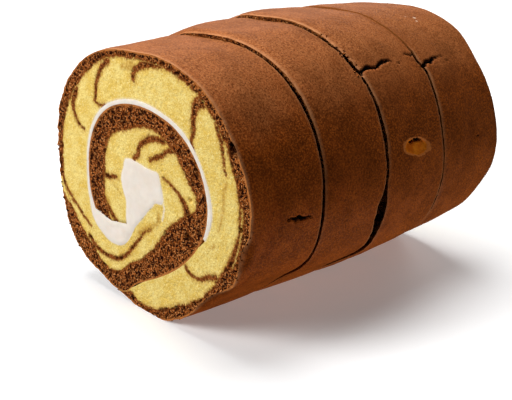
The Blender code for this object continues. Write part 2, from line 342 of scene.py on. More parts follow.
def side_of_sheet(column, angles):
    """The (x, z) points of one side of the sheet at places along the winding."""
    ease = np.clip((angles - INNER_END + END_SLANT) / END_SLANT, 0, 1)
    own = angles + (SHEET_START[column] - INNER_END) * ease**2
    radii = through([row[0] for row in WINDING], [row[column] for row in WINDING], own)
    if column == INNER:
        inner_turn = through([row[0] for row in WINDING], [row[OUTER] for row in WINDING], own + 360.0)
        touching = np.clip((CREAM_END - own) / 8.0, 0, 1) * np.clip((own - SEAM_TIP) / 8.0, 0, 1)
        radii = radii + (inner_turn - radii) * touching
    if column == MIDDLE:
        reach = own * 0.5
        radii = radii + 0.35 * lumps(reach, reach * 0.0, 3.1, 5) + 0.2 * lumps(reach, reach * 0.0, 1.3, 6)
    turn = np.radians(own)
    return np.stack([radii * np.cos(turn), radii * np.sin(turn)], axis=-1)


def sheet_columns(inner_step, outer_step):
    """Places along the winding for a mesh, a step apart in the inner and outer turn."""
    fine = np.linspace(INNER_END, SEAM, 6000)
    points = side_of_sheet(OUTER, fine)
    steps = np.linalg.norm(np.diff(points, axis=0), axis=1)
    size = np.where(fine[1:] > SKIN_START, inner_step, outer_step)
    travel = np.concatenate([[0.0], np.cumsum(steps / size)])
    return np.interp(np.linspace(0, travel[-1], int(travel[-1]) + 1), travel, fine)


def rest_on_surface(z, underside):
    """Lift the belly smoothly, so that a slice of any size comes down to the surface."""
    depth = np.maximum(PULL_FROM - z, 0.0)
    reach = PULL_FROM - underside
    allowed = PULL_FROM + CORE_Z + FLAT_DEPTH
    return z + (reach - allowed) * (depth / reach) ** 2


def knife(turn, cut, column):
    """One column of a cut's table, for directions all round the axis."""
    rows = CUTS[cut][3]
    return through([row[0] for row in rows], [row[column] for row in rows], turn)


def cut_face(x, z, number, end):
    """Where points of the winding come to lie on a slice's front (0) or back (1) cut."""
    size, right, up = SLICES[number][end]
    place, lean_x, lean_z, _ = CUTS[number + end]
    wide = x * size + right
    high = rest_on_surface(z * size + up, UNDERSIDE * size + up)
    turn = np.degrees(np.arctan2(z, x))
    out = np.clip(np.hypot(x, z) / CUT_REACH, 0, 1) ** 3
    along = place + (lean_x * wide + lean_z * high) / CUT_REACH
    along = along + knife(turn, number + end, WANDER) * out
    along = along + knife(turn, number + end, GAP) * (0.3 + 0.7 * out) * (0.5 - end)
    return np.stack([wide, along, high], axis=-1)


def sunken(turn, number, from_front, from_back):
    """How far the rim has sunk at places on a slice, mm."""
    total = np.zeros_like(turn)
    for end, distance in ((0, from_front), (1, from_back)):
        if (number, end) in SUNKEN:
            places, depths = zip(*SUNKEN[number, end])
            total = total + through(places, depths, turn) * np.clip(1 - distance / SINK_LENGTH, 0, 1) ** 3
    return total


def away_from_line(x, y, points):
    """Distance to a line through points, and how far along it the nearest place is."""
    points = np.asarray(points, float)
    steps = np.linalg.norm(np.diff(points, axis=0), axis=1)
    travel = np.concatenate([[0.0], np.cumsum(steps)])
    nearest, along = np.full(x.shape, np.inf), np.zeros(x.shape)
    for i, (start, end) in enumerate(zip(points, points[1:])):
        way = end - start
        t = np.clip(((x - start[0]) * way[0] + (y - start[1]) * way[1]) / (way @ way), 0, 1)
        distance = np.hypot(x - start[0] - t * way[0], y - start[1] - t * way[1])
        closer = distance < nearest
        nearest = np.where(closer, distance, nearest)
        along = np.where(closer, (travel[i] + t * steps[i]) / travel[-1], along)
    return nearest, along


def rounded(points, count):
    """A smooth line through a few points, as many points."""
    points = np.asarray(points, float)
    travel = np.concatenate([[0.0], np.cumsum(np.linalg.norm(np.diff(points, axis=0), axis=1))])
    at = np.linspace(0, travel[-1], count)
    return np.column_stack([through(travel, points[:, i], at) for i in range(points.shape[1])])


def into_lines(x, z, lines, turn, seed):
    """Distance in mm into the wider ones of some lines, negative outside them."""
    bend_x = 0.35 * lumps(x, z, 4.0, seed) + 0.12 * lumps(x, z, 1.7, seed + 1)
    bend_z = 0.35 * lumps(x, z, 4.0, seed + 2) + 0.12 * lumps(x, z, 1.7, seed + 3)
    cos, sin = math.cos(turn), math.sin(turn)
    depth = np.full(x.shape, -3.0)
    for start_width, end_width, places in lines:
        line = rounded(places, 24) @ np.array([[cos, sin], [-sin, cos]])
        distance, along = away_from_line(x + bend_x, z + bend_z, line)
        width = start_width + (end_width - start_width) * along
        depth = np.maximum(depth, width / 2 - distance)
    return depth


# ---------------------------------------------------------------- relief
def crumb(x, z, cocoa, seed):
    """Height of a cut surface in mm, and the painted shade in its pits (0 to 1)."""
    brown = np.clip(cocoa / 0.6 + 0.5, 0, 1)
    fine = 0.07 * rough(x, z, 1.1, seed) + 0.05 * lumps(x, z, 4.5, seed + 4)
    coarse = 0.20 * rough(x, z, 1.5, seed + 8)
    fine_pits = pits(x, z, 0.95, 0.5, seed + 20)
    coarse_pits = np.maximum(pits(x, z, 1.3, 0.8, seed + 30), pits(x, z, 2.6, 0.35, seed + 40))
    height = (1 - brown) * (fine - 0.22 * fine_pits) + brown * (coarse - 0.55 * coarse_pits)
    painted_pit_shade = (1 - brown) * 0.45 * fine_pits + brown * coarse_pits
    if seed == 0:
        for pore_x, pore_z, radius in PORES:
            away = np.hypot(x - pore_x, (z - pore_z) * 0.8) / radius + 0.15 * lumps(x, z, 0.9, 44)
            pore_and_shade = np.clip(1.3 * (1 - away**2), 0, 1)
            height -= 1.2 * pore_and_shade
            painted_pit_shade = np.maximum(painted_pit_shade, pore_and_shade)
    return height, painted_pit_shade


def skin_relief(turn, along, number):
    """Height of the skin in mm, then mm into a split, the torn patch and the painted glints (small pale highlight
    spots).
    """
    around = np.radians(turn) * CUT_REACH
    height = 0.22 * lumps(around, along, 17.0, 50 + number) + 0.10 * lumps(around, along, 7.0, 60)
    height += 0.035 * rough(around, along, 2.2, 70) + 0.012 * lumps(around, along, 0.9, 75)
    split = np.full(height.shape, -1.0)
    bend = 0.36 * rough(around, along, 2.2, 80)
    ragged = 0.20 * rough(around, along, 1.0, 85, 2)
    for start_width, end_width, places in SPLITS:
        line = np.array([(np.radians(place[1]) * CUT_REACH, place[0]) for place in places])
        distance, run = away_from_line(around + bend, along, line)
        half = (start_width + (end_width - start_width) * run) / 2
        split = np.maximum(split, half + 1.4 * ragged - distance)
        height += 0.16 * half * np.clip(1 - distance / 2.2, 0, 1) ** 2
    height -= 1.7 * np.clip(split / 0.5 + 0.2, 0, 1) ** 1.5
    (centre, lift), (half_length, half_height), slant = TORN
    off_centre = turn - lift - slant * (along - centre)
    torn = 1 - np.hypot((along - centre) / half_length, off_centre / half_height)
    torn = torn * np.radians(half_height) * CUT_REACH + ragged + 0.3 * lumps(around, along, 4.0, 88)
    fleck = np.full(height.shape, -1.0)
    for place, direction, radius in PAINTED_GLINTS:
        away = np.hypot(along - place, np.radians(turn - direction) * CUT_REACH)
        fleck = np.maximum(fleck, radius + ragged - away)
    height += 0.12 * np.exp(-((torn + 0.25) / 0.35) ** 2) - 0.35 * np.clip(torn / 0.5, 0, 1)
    return height, split, torn, fleck


# ---------------------------------------------------------------- meshes
def make_piece(name, points, faces, materials, nodes):
    """A finished piece from points in mm, standing for CAD nodes."""
    mesh = bpy.data.meshes.new(name)
    mesh.from_pydata((points * MM).tolist(), [], faces)
    mesh.validate()
    piece = bpy.data.objects.new(name, mesh)
    bpy.context.scene.collection.objects.link(piece)
    for material in materials:
        mesh.materials.append(material)
    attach(piece, "root")
    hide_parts(*nodes)
    return piece


def set_attribute(piece, name, values):
    layer = piece.data.attributes.new(name, "FLOAT", "POINT")
    layer.data.foreach_set("value", np.ascontiguousarray(values, dtype=np.float32).ravel())


def loop_of_stations(front_rows, side_rows, back_rows):
    """Places round a layer's section: across the sheet (0 to 1), along the slice (0 to 1)."""
    across = np.concatenate([np.linspace(0, 1, front_rows + 1), np.ones(side_rows - 1),
                             np.linspace(1, 0, back_rows + 1)])
    along = np.concatenate([np.zeros(front_rows + 1), np.linspace(0, 1, side_rows + 1)[1:-1],
                            np.ones(back_rows + 1)])
    return across, along


def wound_mesh(columns, rows):
    """Faces of a closed tube: columns along the sheet, rows round its section."""
    index = np.arange(columns * rows).reshape(columns, rows)
    here, there = index[:-1], index[1:]
    quads = np.stack([here, there, np.roll(there, -1, axis=1), np.roll(here, -1, axis=1)], axis=-1)
    faces = quads.reshape(-1, 4).tolist()
    faces.append(index[0].tolist())
    faces.append(index[-1][::-1].tolist())
    return faces


def layer_mesh(number, layer, inner_step, outer_step, front_rows, side_rows, back_rows):
    """Points and surface values of one slice's chocolate or vanilla sponge."""
    angles = sheet_columns(inner_step, outer_step)
    low_side, high_side = {"chocolate": (MIDDLE, OUTER), "vanilla": (INNER, MIDDLE)}[layer]
    low, high = side_of_sheet(low_side, angles), side_of_sheet(high_side, angles)
    across, along = loop_of_stations(front_rows, side_rows, back_rows)
    across, along = across[None, :], along[None, :]
    flat = low[:, None, :] + (high - low)[:, None, :] * across[..., None]
    x, z = flat[..., 0], flat[..., 1]
    along = np.broadcast_to(along, x.shape)
    turn = np.degrees(np.arctan2(z, x))
    radius = np.hypot(x, z)

    front, back = cut_face(x, z, number, 0), cut_face(x, z, number, 1)
    spot = front + (back - front) * along[..., None]
    depth = (back - front)[..., 1]
    from_front, from_back = along * depth, (1 - along) * depth

    thickness = np.linalg.norm(high - low, axis=1)[:, None]
    pattern_turn = math.radians(5.0 * number)
    hidden = np.where(along < 0.5, number > 0, number < len(SLICES) - 1)
    if layer == "chocolate":
        bare = np.where(hidden, 3.0, -into_lines(x, z, BARE, pattern_turn, 21))
        cocoa = np.minimum(across * thickness, bare)
        skin = (angles < SKIN_START)[:, None] * across**3
    else:
        # On the cuts between slices the vanilla is browned further: painted shade of the gaps.
        cocoa = np.maximum(into_lines(x, z, STREAKS, pattern_turn, 11),
                           PAINTED_GAP_BROWN * hidden - (1 - across) * thickness)
        skin = np.zeros_like(x)

    height, split, torn, fleck = skin_relief(turn, spot[..., 1], number)
    front_rounding = knife(turn, number, ROUNDING)
    front_edge = np.clip(1 - from_front / EDGE_ROUND, 0, 1) ** 2
    back_edge = np.clip(1 - from_back / EDGE_ROUND, 0, 1) ** 2
    inset = front_rounding * front_edge + BACK_ROUND * back_edge
    around = np.radians(turn) * CUT_REACH
    front_fray = knife(turn, number, FRAYED) * np.clip(1 - from_front / 1.2, 0, 1)
    back_fray = knife(turn, number + 1, FRAYED) * np.clip(1 - from_back / 1.2, 0, 1)
    ragged = 0.5 * lumps(around, around * 0 + number, 5.0, 7) + 0.35 * rough(around, around * 0 + number, 2.2, 17)
    outward = skin * (height - inset + (front_fray + back_fray) * ragged)
    outward = outward - sunken(turn, number, from_front, from_back) * (radius / CUT_REACH) ** 6
    scale = 1 + outward / np.maximum(radius, 1.0)
    spot[..., 0] *= scale
    spot[..., 2] *= scale
    spot[..., 1] += skin * 0.5 * (front_fray - back_fray) * rough(around, around * 0 + number, 1.8, 27)

    cut_seed = 100 * number
    front_height, front_pit_shade = crumb(x, z, cocoa, cut_seed)
    back_height, back_pit_shade = crumb(x, z, cocoa, cut_seed + 50)
    near_front = np.clip(1 - from_front / 1.2, 0, 1) ** 2
    near_back = np.clip(1 - from_back / 1.2, 0, 1) ** 2
    inner = (1 - across) * thickness if layer == "chocolate" else across * thickness
    calm = np.clip(inner / 0.9, 0.12, 1)
    front_height, back_height = front_height * calm, back_height * calm
    calm = np.clip(1.8 * calm, 0, 1)
    front_pit_shade, back_pit_shade = front_pit_shade * calm, back_pit_shade * calm
    front_open = np.clip(knife(turn, number, GAP) / 0.4, 0, 1) if number > 0 else 1.0
    back_open = np.clip(knife(turn, number + 1, GAP) / 0.4, 0, 1) if number < len(SLICES) - 1 else 1.0
    spot[..., 1] += back_open * back_height * near_back - front_open * front_height * near_front
    # Painted shade: the crumb's pits are darkened in colour as if in shade.
    pore_and_shade = np.maximum(front_pit_shade * near_front, back_pit_shade * near_back)
    # Painted shade: the cuts between slices are darkened near their rims, as if in the shade of the gap.
    painted_gap_shade = np.where(along < 0.5, (number > 0) * near_front, (number < len(SLICES) - 1) * near_back)
    pore_and_shade = np.maximum(pore_and_shade, 0.65 * painted_gap_shade)

    spot += (CORE_X, -LENGTH / 2, CORE_Z)
    spot[..., 2] = np.maximum(spot[..., 2], 0.0)
    columns, rows = x.shape
    values = {"cocoa": np.clip(cocoa, -3, 3), "pore_and_shade": pore_and_shade}
    if layer == "chocolate":
        # The edge value is a lighter crust rim at the cuts, partly real and partly a painted highlight, stronger
        # higher up where the light falls.
        lit = np.clip((z + 5) / 30, 0.25, 1) if number > 0 else 1.0
        edge = np.maximum(front_open * lit * (1.15 - from_front / 0.9), back_open * (0.6 - from_back))
        values.update(crust=np.clip(1.2 - (1 - across) * thickness, 0, 1.2), split=split, torn=torn,
                      edge=np.clip(edge, 0, 1), fleck=fleck)
    else:
        by_cream = (angles > CREAM_END)[:, None] * np.clip(0.75 - across * thickness / 0.8, 0, 1)
        line = np.clip(into_lines(x, z, CREAM_LINE, pattern_turn, 35) / 0.5 + 0.5, 0, 1)
        values.update(smear=np.clip(into_lines(x, z, SMEARS, pattern_turn, 31) / 0.8 + 0.5, 0, 1),
                      cream=np.maximum(line, by_cream))
    return spot.reshape(-1, 3), wound_mesh(columns, rows), values, columns, rows


def mark_skin(piece, columns, rows, front_rows, side_rows):
    """The outer side takes the skin material, and the edges round the cuts are sharp."""
    mesh = piece.data
    side = np.zeros((columns - 1, rows), np.int32)
    side[:, front_rows:front_rows + side_rows] = 1
    slots = np.zeros(len(mesh.polygons), np.int32)
    slots[:side.size] = side.ravel()
    mesh.polygons.foreach_set("material_index", slots)
    mark_sharp(mesh, rows, (0, front_rows, front_rows + side_rows, rows - 1))


def mark_sharp(mesh, rows, sharp_rows):
    mesh.shade_smooth()
    ends = np.empty(len(mesh.edges) * 2, np.int32)
    mesh.edges.foreach_get("vertices", ends)
    row = ends.reshape(-1, 2) % rows
    sharp = (row[:, 0] == row[:, 1]) & np.isin(row[:, 0], sharp_rows)
    layer = mesh.attributes.new("sharp_edge", "BOOLEAN", "EDGE")
    layer.data.foreach_set("value", sharp)


def sponge_piece(number, layer, materials, **sizes):
    points, faces, values, columns, rows = layer_mesh(number, layer, **sizes)
    node = f"{layer}_sponge_{number + 1}"
    piece = make_piece(f"{layer}_slice_{number + 1}", points, faces, materials,
                       [node])
    for name, value in values.items():
        set_attribute(piece, name, value)
    if layer == "chocolate":
        mark_skin(piece, columns, rows, sizes["front_rows"], sizes["side_rows"])
    else:
        mark_sharp(piece.data, rows, (0, sizes["front_rows"], rows - 1,
                                      sizes["front_rows"] + sizes["side_rows"]))
    return piece, columns, rows


def crumb_ground(pieces, sizes):
    """Strips along the rims of the cuts, with how many crumbs they hold for each m2."""
    points, faces, shares = [], [], []
    for number, (piece, columns, rows) in enumerate(pieces):
        places = np.empty(columns * rows * 3, np.float32)
        piece.data.vertices.foreach_get("co", places)
        places = places.reshape(columns, rows, 3)
        front_rows, side_rows = sizes[number]
        back_row = front_rows + side_rows
        for cut, first, last in ((number, front_rows - RIM_ROWS, front_rows + 2),
                                 (number + 1, back_row - 2, back_row + RIM_ROWS)):
            strip = places[:, first:last + 1]
            turn = np.degrees(np.arctan2(strip[..., 2] - CORE_Z * MM, strip[..., 0] - CORE_X * MM))
            start = sum(len(part) for part in points)
            index = np.arange(strip.shape[0] * strip.shape[1]).reshape(strip.shape[:2]) + start
            outer = sheet_columns(*COLUMN_STEPS[number])[:-1] < SKIN_START
            quads = np.stack([index[:-1, :-1], index[1:, :-1], index[1:, 1:], index[:-1, 1:]], axis=-1)
            faces += quads[outer].reshape(-1, 4).tolist()
            points.append(strip.reshape(-1, 3))
            above_surface = strip[..., 2] > 2 * CRUMB_RADIUS * MM
            share = np.maximum(knife(turn, cut, FRAYED) - 0.2, 0) * above_surface
            shares.append(share.ravel() * CRUMBS_PER_FRAY)
    mesh = bpy.data.meshes.new("crumb ground")
    mesh.from_pydata(np.vstack(points).tolist(), [], faces)
    layer = mesh.attributes.new("crumbs", "FLOAT", "POINT")
    layer.data.foreach_set("value", np.concatenate(shares).astype(np.float32))
    return mesh


def crumb_tree():
    """Geometry nodes that strew small angular crumbs over a mesh."""
    tree = bpy.data.node_groups.new("strewn crumbs", "GeometryNodeTree")
    face = tree.interface
    face.new_socket("Geometry", in_out="INPUT", socket_type="NodeSocketGeometry")
    face.new_socket("Crumb radius", in_out="INPUT", socket_type="NodeSocketFloat")
    face.new_socket("Smallest share", in_out="INPUT", socket_type="NodeSocketFloat")
    face.new_socket("Roughness", in_out="INPUT", socket_type="NodeSocketFloat")
    face.new_socket("Seed", in_out="INPUT", socket_type="NodeSocketInt")
    face.new_socket("Material", in_out="INPUT", socket_type="NodeSocketMaterial")
    face.new_socket("Geometry", in_out="OUTPUT", socket_type="NodeSocketGeometry")
    given = node(tree, "NodeGroupInput").outputs
    wanted = node(tree, "GeometryNodeInputNamedAttribute", {"Name": "crumbs"}, data_type="FLOAT")
    strewn = node(tree, "GeometryNodeDistributePointsOnFaces",
                  {"Mesh": given["Geometry"], "Density": wanted.outputs["Attribute"],
                   "Seed": given["Seed"]})
    small = node(tree, "ShaderNodeCombineXYZ", {axis: given["Smallest share"] for axis in "XYZ"})
    size = node(tree, "FunctionNodeRandomValue",
                {0: small.outputs[0], 1: (1.0, 1.0, 1.0), "Seed": given["Seed"]}, data_type="FLOAT_VECTOR")
    turned = node(tree, "FunctionNodeRandomValue",
                  {1: (6.283, 6.283, 6.283), "Seed": given["Seed"]}, data_type="FLOAT_VECTOR")
    one = node(tree, "GeometryNodeMeshIcoSphere", {"Radius": given["Crumb radius"], "Subdivisions": 1})
    placed = node(tree, "GeometryNodeInstanceOnPoints",
                  {"Points": strewn.outputs["Points"], "Instance": one.outputs["Mesh"],
                   "Rotation": turned.outputs[0], "Scale": size.outputs[0]})
    real = node(tree, "GeometryNodeRealizeInstances", {"Geometry": placed.outputs["Instances"]})
    wobble = node(tree, "ShaderNodeTexNoise", {"Scale": 2500.0})
    centred = node(tree, "ShaderNodeVectorMath", {0: wobble.outputs["Color"], 1: (0.5, 0.5, 0.5)},
                   operation="SUBTRACT")
    push = node(tree, "ShaderNodeVectorMath", {0: centred.outputs[0], "Scale": given["Roughness"]},
                operation="SCALE")
    moved = node(tree, "GeometryNodeSetPosition",
                 {"Geometry": real.outputs["Geometry"], "Offset": push.outputs[0]})
    brown = node(tree, "GeometryNodeStoreNamedAttribute",
                 {"Geometry": moved.outputs["Geometry"], "Name": "cocoa", "Value": 2.0},
                 data_type="FLOAT", domain="POINT")
    dressed = node(tree, "GeometryNodeSetMaterial",
                   {"Geometry": brown.outputs["Geometry"], "Material": given["Material"]})
    node(tree, "NodeGroupOutput", {"Geometry": dressed.outputs["Geometry"]})
    return tree


def loose_crumbs(pieces, sizes, material):
    """Crumbs that cling to the rims of the cuts, as one piece."""
    ground = bpy.data.objects.new("crumb ground", crumb_ground(pieces, sizes))
    bpy.context.scene.collection.objects.link(ground)
    tree = crumb_tree()
    modifier = ground.modifiers.new("strewn crumbs", "NODES")
    modifier.node_group = tree
    named = {item.name: item.identifier for item in tree.interface.items_tree
             if item.in_out == "INPUT"}
    for name, value in (("Crumb radius", CRUMB_RADIUS * MM), ("Smallest share", 0.35),
                        ("Roughness", 0.35 * CRUMB_RADIUS * MM), ("Seed", 4), ("Material", material)):
        modifier[named[name]] = value
    evaluated = ground.evaluated_get(bpy.context.evaluated_depsgraph_get())
    mesh = bpy.data.meshes.new_from_object(evaluated)
    ground.modifiers.clear()
    bpy.data.objects.remove(ground)
    crumbs = bpy.data.objects.new("loose_crumbs", mesh)
    bpy.context.scene.collection.objects.link(crumbs)
    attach(crumbs, "root")
    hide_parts(*(f"chocolate_sponge_{number + 1}" for number in range(len(SLICES))))
    return crumbs


def cream_outline(step):
    """Outline of the cream: the core, round the sheet's inner end, and the ring."""
    angles = sheet_columns(step, step)
    core = side_of_sheet(INNER, angles[angles > CREAM_END])[::-1]
    ring = side_of_sheet(OUTER, angles[angles > CREAM_END + 360.0])
    corner = side_of_sheet(MIDDLE, angles[:1])
    return np.vstack([core, corner, ring])


def cream_piece(number, material):
    """The cream of one slice: gently uneven on its cuts, rounded where it meets sponge."""
    outline = cream_outline(0.5)
    count = len(outline)
    low, high = outline.min(axis=0), outline.max(axis=0)
    spacing = 0.6
    grid_x, grid_z = np.meshgrid(np.arange(low[0], high[0], spacing),
                                 np.arange(low[1], high[1], spacing))
    grid_x = grid_x + (np.arange(grid_x.shape[0])[:, None] % 2) * spacing / 2
    grid = np.column_stack([grid_x.ravel(), grid_z.ravel()])
    edge_distance, _ = away_from_line(grid[:, 0], grid[:, 1], np.vstack([outline, outline[:1]]))
    grid = grid[edge_distance > 0.35]
    everything = [Vector(point) for point in np.vstack([outline, grid])]
    rim = [(i, (i + 1) % count) for i in range(count)]
    filled = delaunay_2d_cdt(everything, rim, [], 1, 1e-5)
    flat = np.array([tuple(point) for point in filled[0]])
    triangles = np.array(filled[2])
    total = len(flat)

    edge, _ = away_from_line(flat[:, 0], flat[:, 1], np.vstack([outline, outline[:1]]))
    soft = np.clip(edge / 0.8, 0, 1)
    swell = 0.12 * soft + 0.02 + 0.08 * rough(flat[:, 0], flat[:, 1], 5.0, 300 + number, 2)
    swell += 0.03 * rough(flat[:, 0], flat[:, 1], 1.2, 310, 2)
    front = cut_face(flat[:, 0], flat[:, 1], number, 0)
    back = cut_face(flat[:, 0], flat[:, 1], number, 1)
    front[:, 1] -= swell
    back[:, 1] += swell
    points = np.vstack([front, back]) + (CORE_X, -LENGTH / 2, CORE_Z)

    signed = np.cross(flat[triangles[:, 1]] - flat[triangles[:, 0]],
                      flat[triangles[:, 2]] - flat[triangles[:, 0]])
    triangles[signed < 0] = triangles[signed < 0][:, ::-1]
    faces = triangles.tolist() + (triangles[:, ::-1] + total).tolist()
    used = {}
    for a, b, c in triangles.tolist():
        for pair in ((a, b), (b, c), (c, a)):
            used[pair] = True
    border = [pair for pair in used if (pair[1], pair[0]) not in used]
    faces += [(b, a, a + total, b + total) for a, b in border]
    piece = make_piece(f"cream_slice_{number + 1}", points, faces, [material],
                       [f"cream_{number + 1}"])
    piece.data.shade_smooth()
    piece.data.set_sharp_from_angle(angle=math.radians(60.0))
    return piece


# ---------------------------------------------------------------- materials
def new_material(name):
    material = bpy.data.materials.new(name)
    material.use_nodes = True
    tree = material.node_tree
    return material, tree, tree.nodes["Principled BSDF"]


def node(tree, kind, inputs=(), **settings):
    """A shader node with its settings, and its inputs set to values or linked."""
    made = tree.nodes.new(kind)
    for name, value in settings.items():
        setattr(made, name, value)
    for key, value in dict(inputs).items():
        if isinstance(value, bpy.types.NodeSocket):
            tree.links.new(value, made.inputs[key])
        else:
            made.inputs[key].default_value = value
    return made


def spots(tree, size_mm, detail=3.0, stretch=(1.0, 1.0, 1.0)):
    """Noise on the piece's own coordinates, with blobs of about one size."""
    place = node(tree, "ShaderNodeTexCoord").outputs["Object"]
    place = node(tree, "ShaderNodeMapping", {"Vector": place, "Scale": stretch}).outputs["Vector"]
    return node(tree, "ShaderNodeTexNoise", {"Vector": place, "Scale": 1 / (size_mm * MM),
                                             "Detail": detail, "Roughness": 0.6}).outputs["Fac"]


def value_of(tree, name):
    return node(tree, "ShaderNodeAttribute", attribute_name=name).outputs["Fac"]


def sum_of(tree, operation, first, second):
    return node(tree, "ShaderNodeMath", {0: first, 1: second}, operation=operation).outputs[0]


def spread(tree, value, low, high, to_low=0.0, to_high=1.0):
    """A value's range stretched to another one, with soft ends."""
    return node(tree, "ShaderNodeMapRange", {"Value": value, "From Min": low, "From Max": high,
                                             "To Min": to_low, "To Max": to_high},
                interpolation_type="SMOOTHSTEP").outputs["Result"]


def blend(tree, share, first, second, kind="MIX"):
    """Two colours mixed; each is a colour or a socket."""
    made = node(tree, "ShaderNodeMix", data_type="RGBA", blend_type=kind)
    for key, value in ((0, share), (6, first), (7, second)):
        if isinstance(value, bpy.types.NodeSocket):
            tree.links.new(value, made.inputs[key])
        elif key == 0:
            made.inputs[key].default_value = value
        else:
            made.inputs[key].default_value = (*value, 1.0)
    return made.outputs[2]


def bump(tree, shader, height, distance_mm, strength):
    made = node(tree, "ShaderNodeBump", {"Height": height, "Strength": strength,
                                         "Distance": distance_mm * MM})
    tree.links.new(made.outputs["Normal"], shader.inputs["Normal"])


def crumb_material():
    """Cut sponge: yellow crumb, brown crumb and the ragged line between them."""
    material, tree, shader = new_material("sponge crumb")
    fray = sum_of(tree, "MULTIPLY", sum_of(tree, "SUBTRACT", spots(tree, 0.7), 0.5), 2.0)
    cocoa = value_of(tree, "cocoa")
    brown = spread(tree, sum_of(tree, "ADD", cocoa, fray), -0.48, 0.40)

    yellow = blend(tree, spread(tree, spots(tree, 4.5), 0.35, 0.65),
                   (0.83, 0.570, 0.120), (0.93, 0.725, 0.235))
    yellow = blend(tree, spread(tree, spots(tree, 0.42, 2.0), 0.46, 0.66, 0.0, 0.8), yellow,
                   (0.69, 0.43, 0.075))
    yellow = blend(tree, spread(tree, spots(tree, 0.38, 1.0), 0.56, 0.68, 0.0, 0.8), yellow,
                   (0.98, 0.82, 0.36))
    near_brown = sum_of(tree, "ADD", cocoa, sum_of(tree, "MULTIPLY", fray, 2.0))
    yellow = blend(tree, spread(tree, near_brown, -1.3, -0.1, 0.0, 0.6), yellow, (0.62, 0.35, 0.07))
    smear = sum_of(tree, "MULTIPLY", value_of(tree, "smear"),
                   spread(tree, spots(tree, 0.8), 0.35, 0.6, 0.35, 0.95))
    yellow = blend(tree, smear, yellow, (0.55, 0.30, 0.05))
    creamy = sum_of(tree, "MULTIPLY", value_of(tree, "cream"), spread(tree, spots(tree, 0.7), 0.3, 0.55))
    yellow = blend(tree, creamy, yellow, (0.88, 0.78, 0.62))

    walls = blend(tree, spread(tree, spots(tree, 0.52, 2.0), 0.41, 0.59),
                  (0.085, 0.017, 0.004), (0.38, 0.102, 0.018))
    walls = blend(tree, spread(tree, spots(tree, 0.45, 1.0), 0.545, 0.645), walls, (0.74, 0.31, 0.10))
    # Painted shade: near-black spots stand for the shade in the crumb's small holes.
    walls = blend(tree, spread(tree, spots(tree, 0.8, 2.0), 0.50, 0.57), walls, (0.020, 0.005, 0.003))
    thin = spread(tree, cocoa, 0.25, 1.2, 0.25, 1.0)
    walls = blend(tree, thin, (0.23, 0.060, 0.011), walls)
    crust = sum_of(tree, "ADD", value_of(tree, "crust"), sum_of(tree, "MULTIPLY", fray, 0.4))
    walls = blend(tree, spread(tree, crust, 0.45, 0.80), walls, (0.47, 0.165, 0.043))
    # Painted shade: darkened in pits, in big pores and on the cuts between slices.
    walls = blend(tree, sum_of(tree, "MULTIPLY", value_of(tree, "pore_and_shade"), 0.8), walls,
                  (0.018, 0.005, 0.002))
    colour = blend(tree, brown, yellow, walls)
    tree.links.new(colour, shader.inputs["Base Color"])
    shader.inputs["Roughness"].default_value = 0.9
    shader.inputs["Specular IOR Level"].default_value = 0.1
    bump(tree, shader, spots(tree, 0.5, 4.0), 0.3, 0.7)
    return material


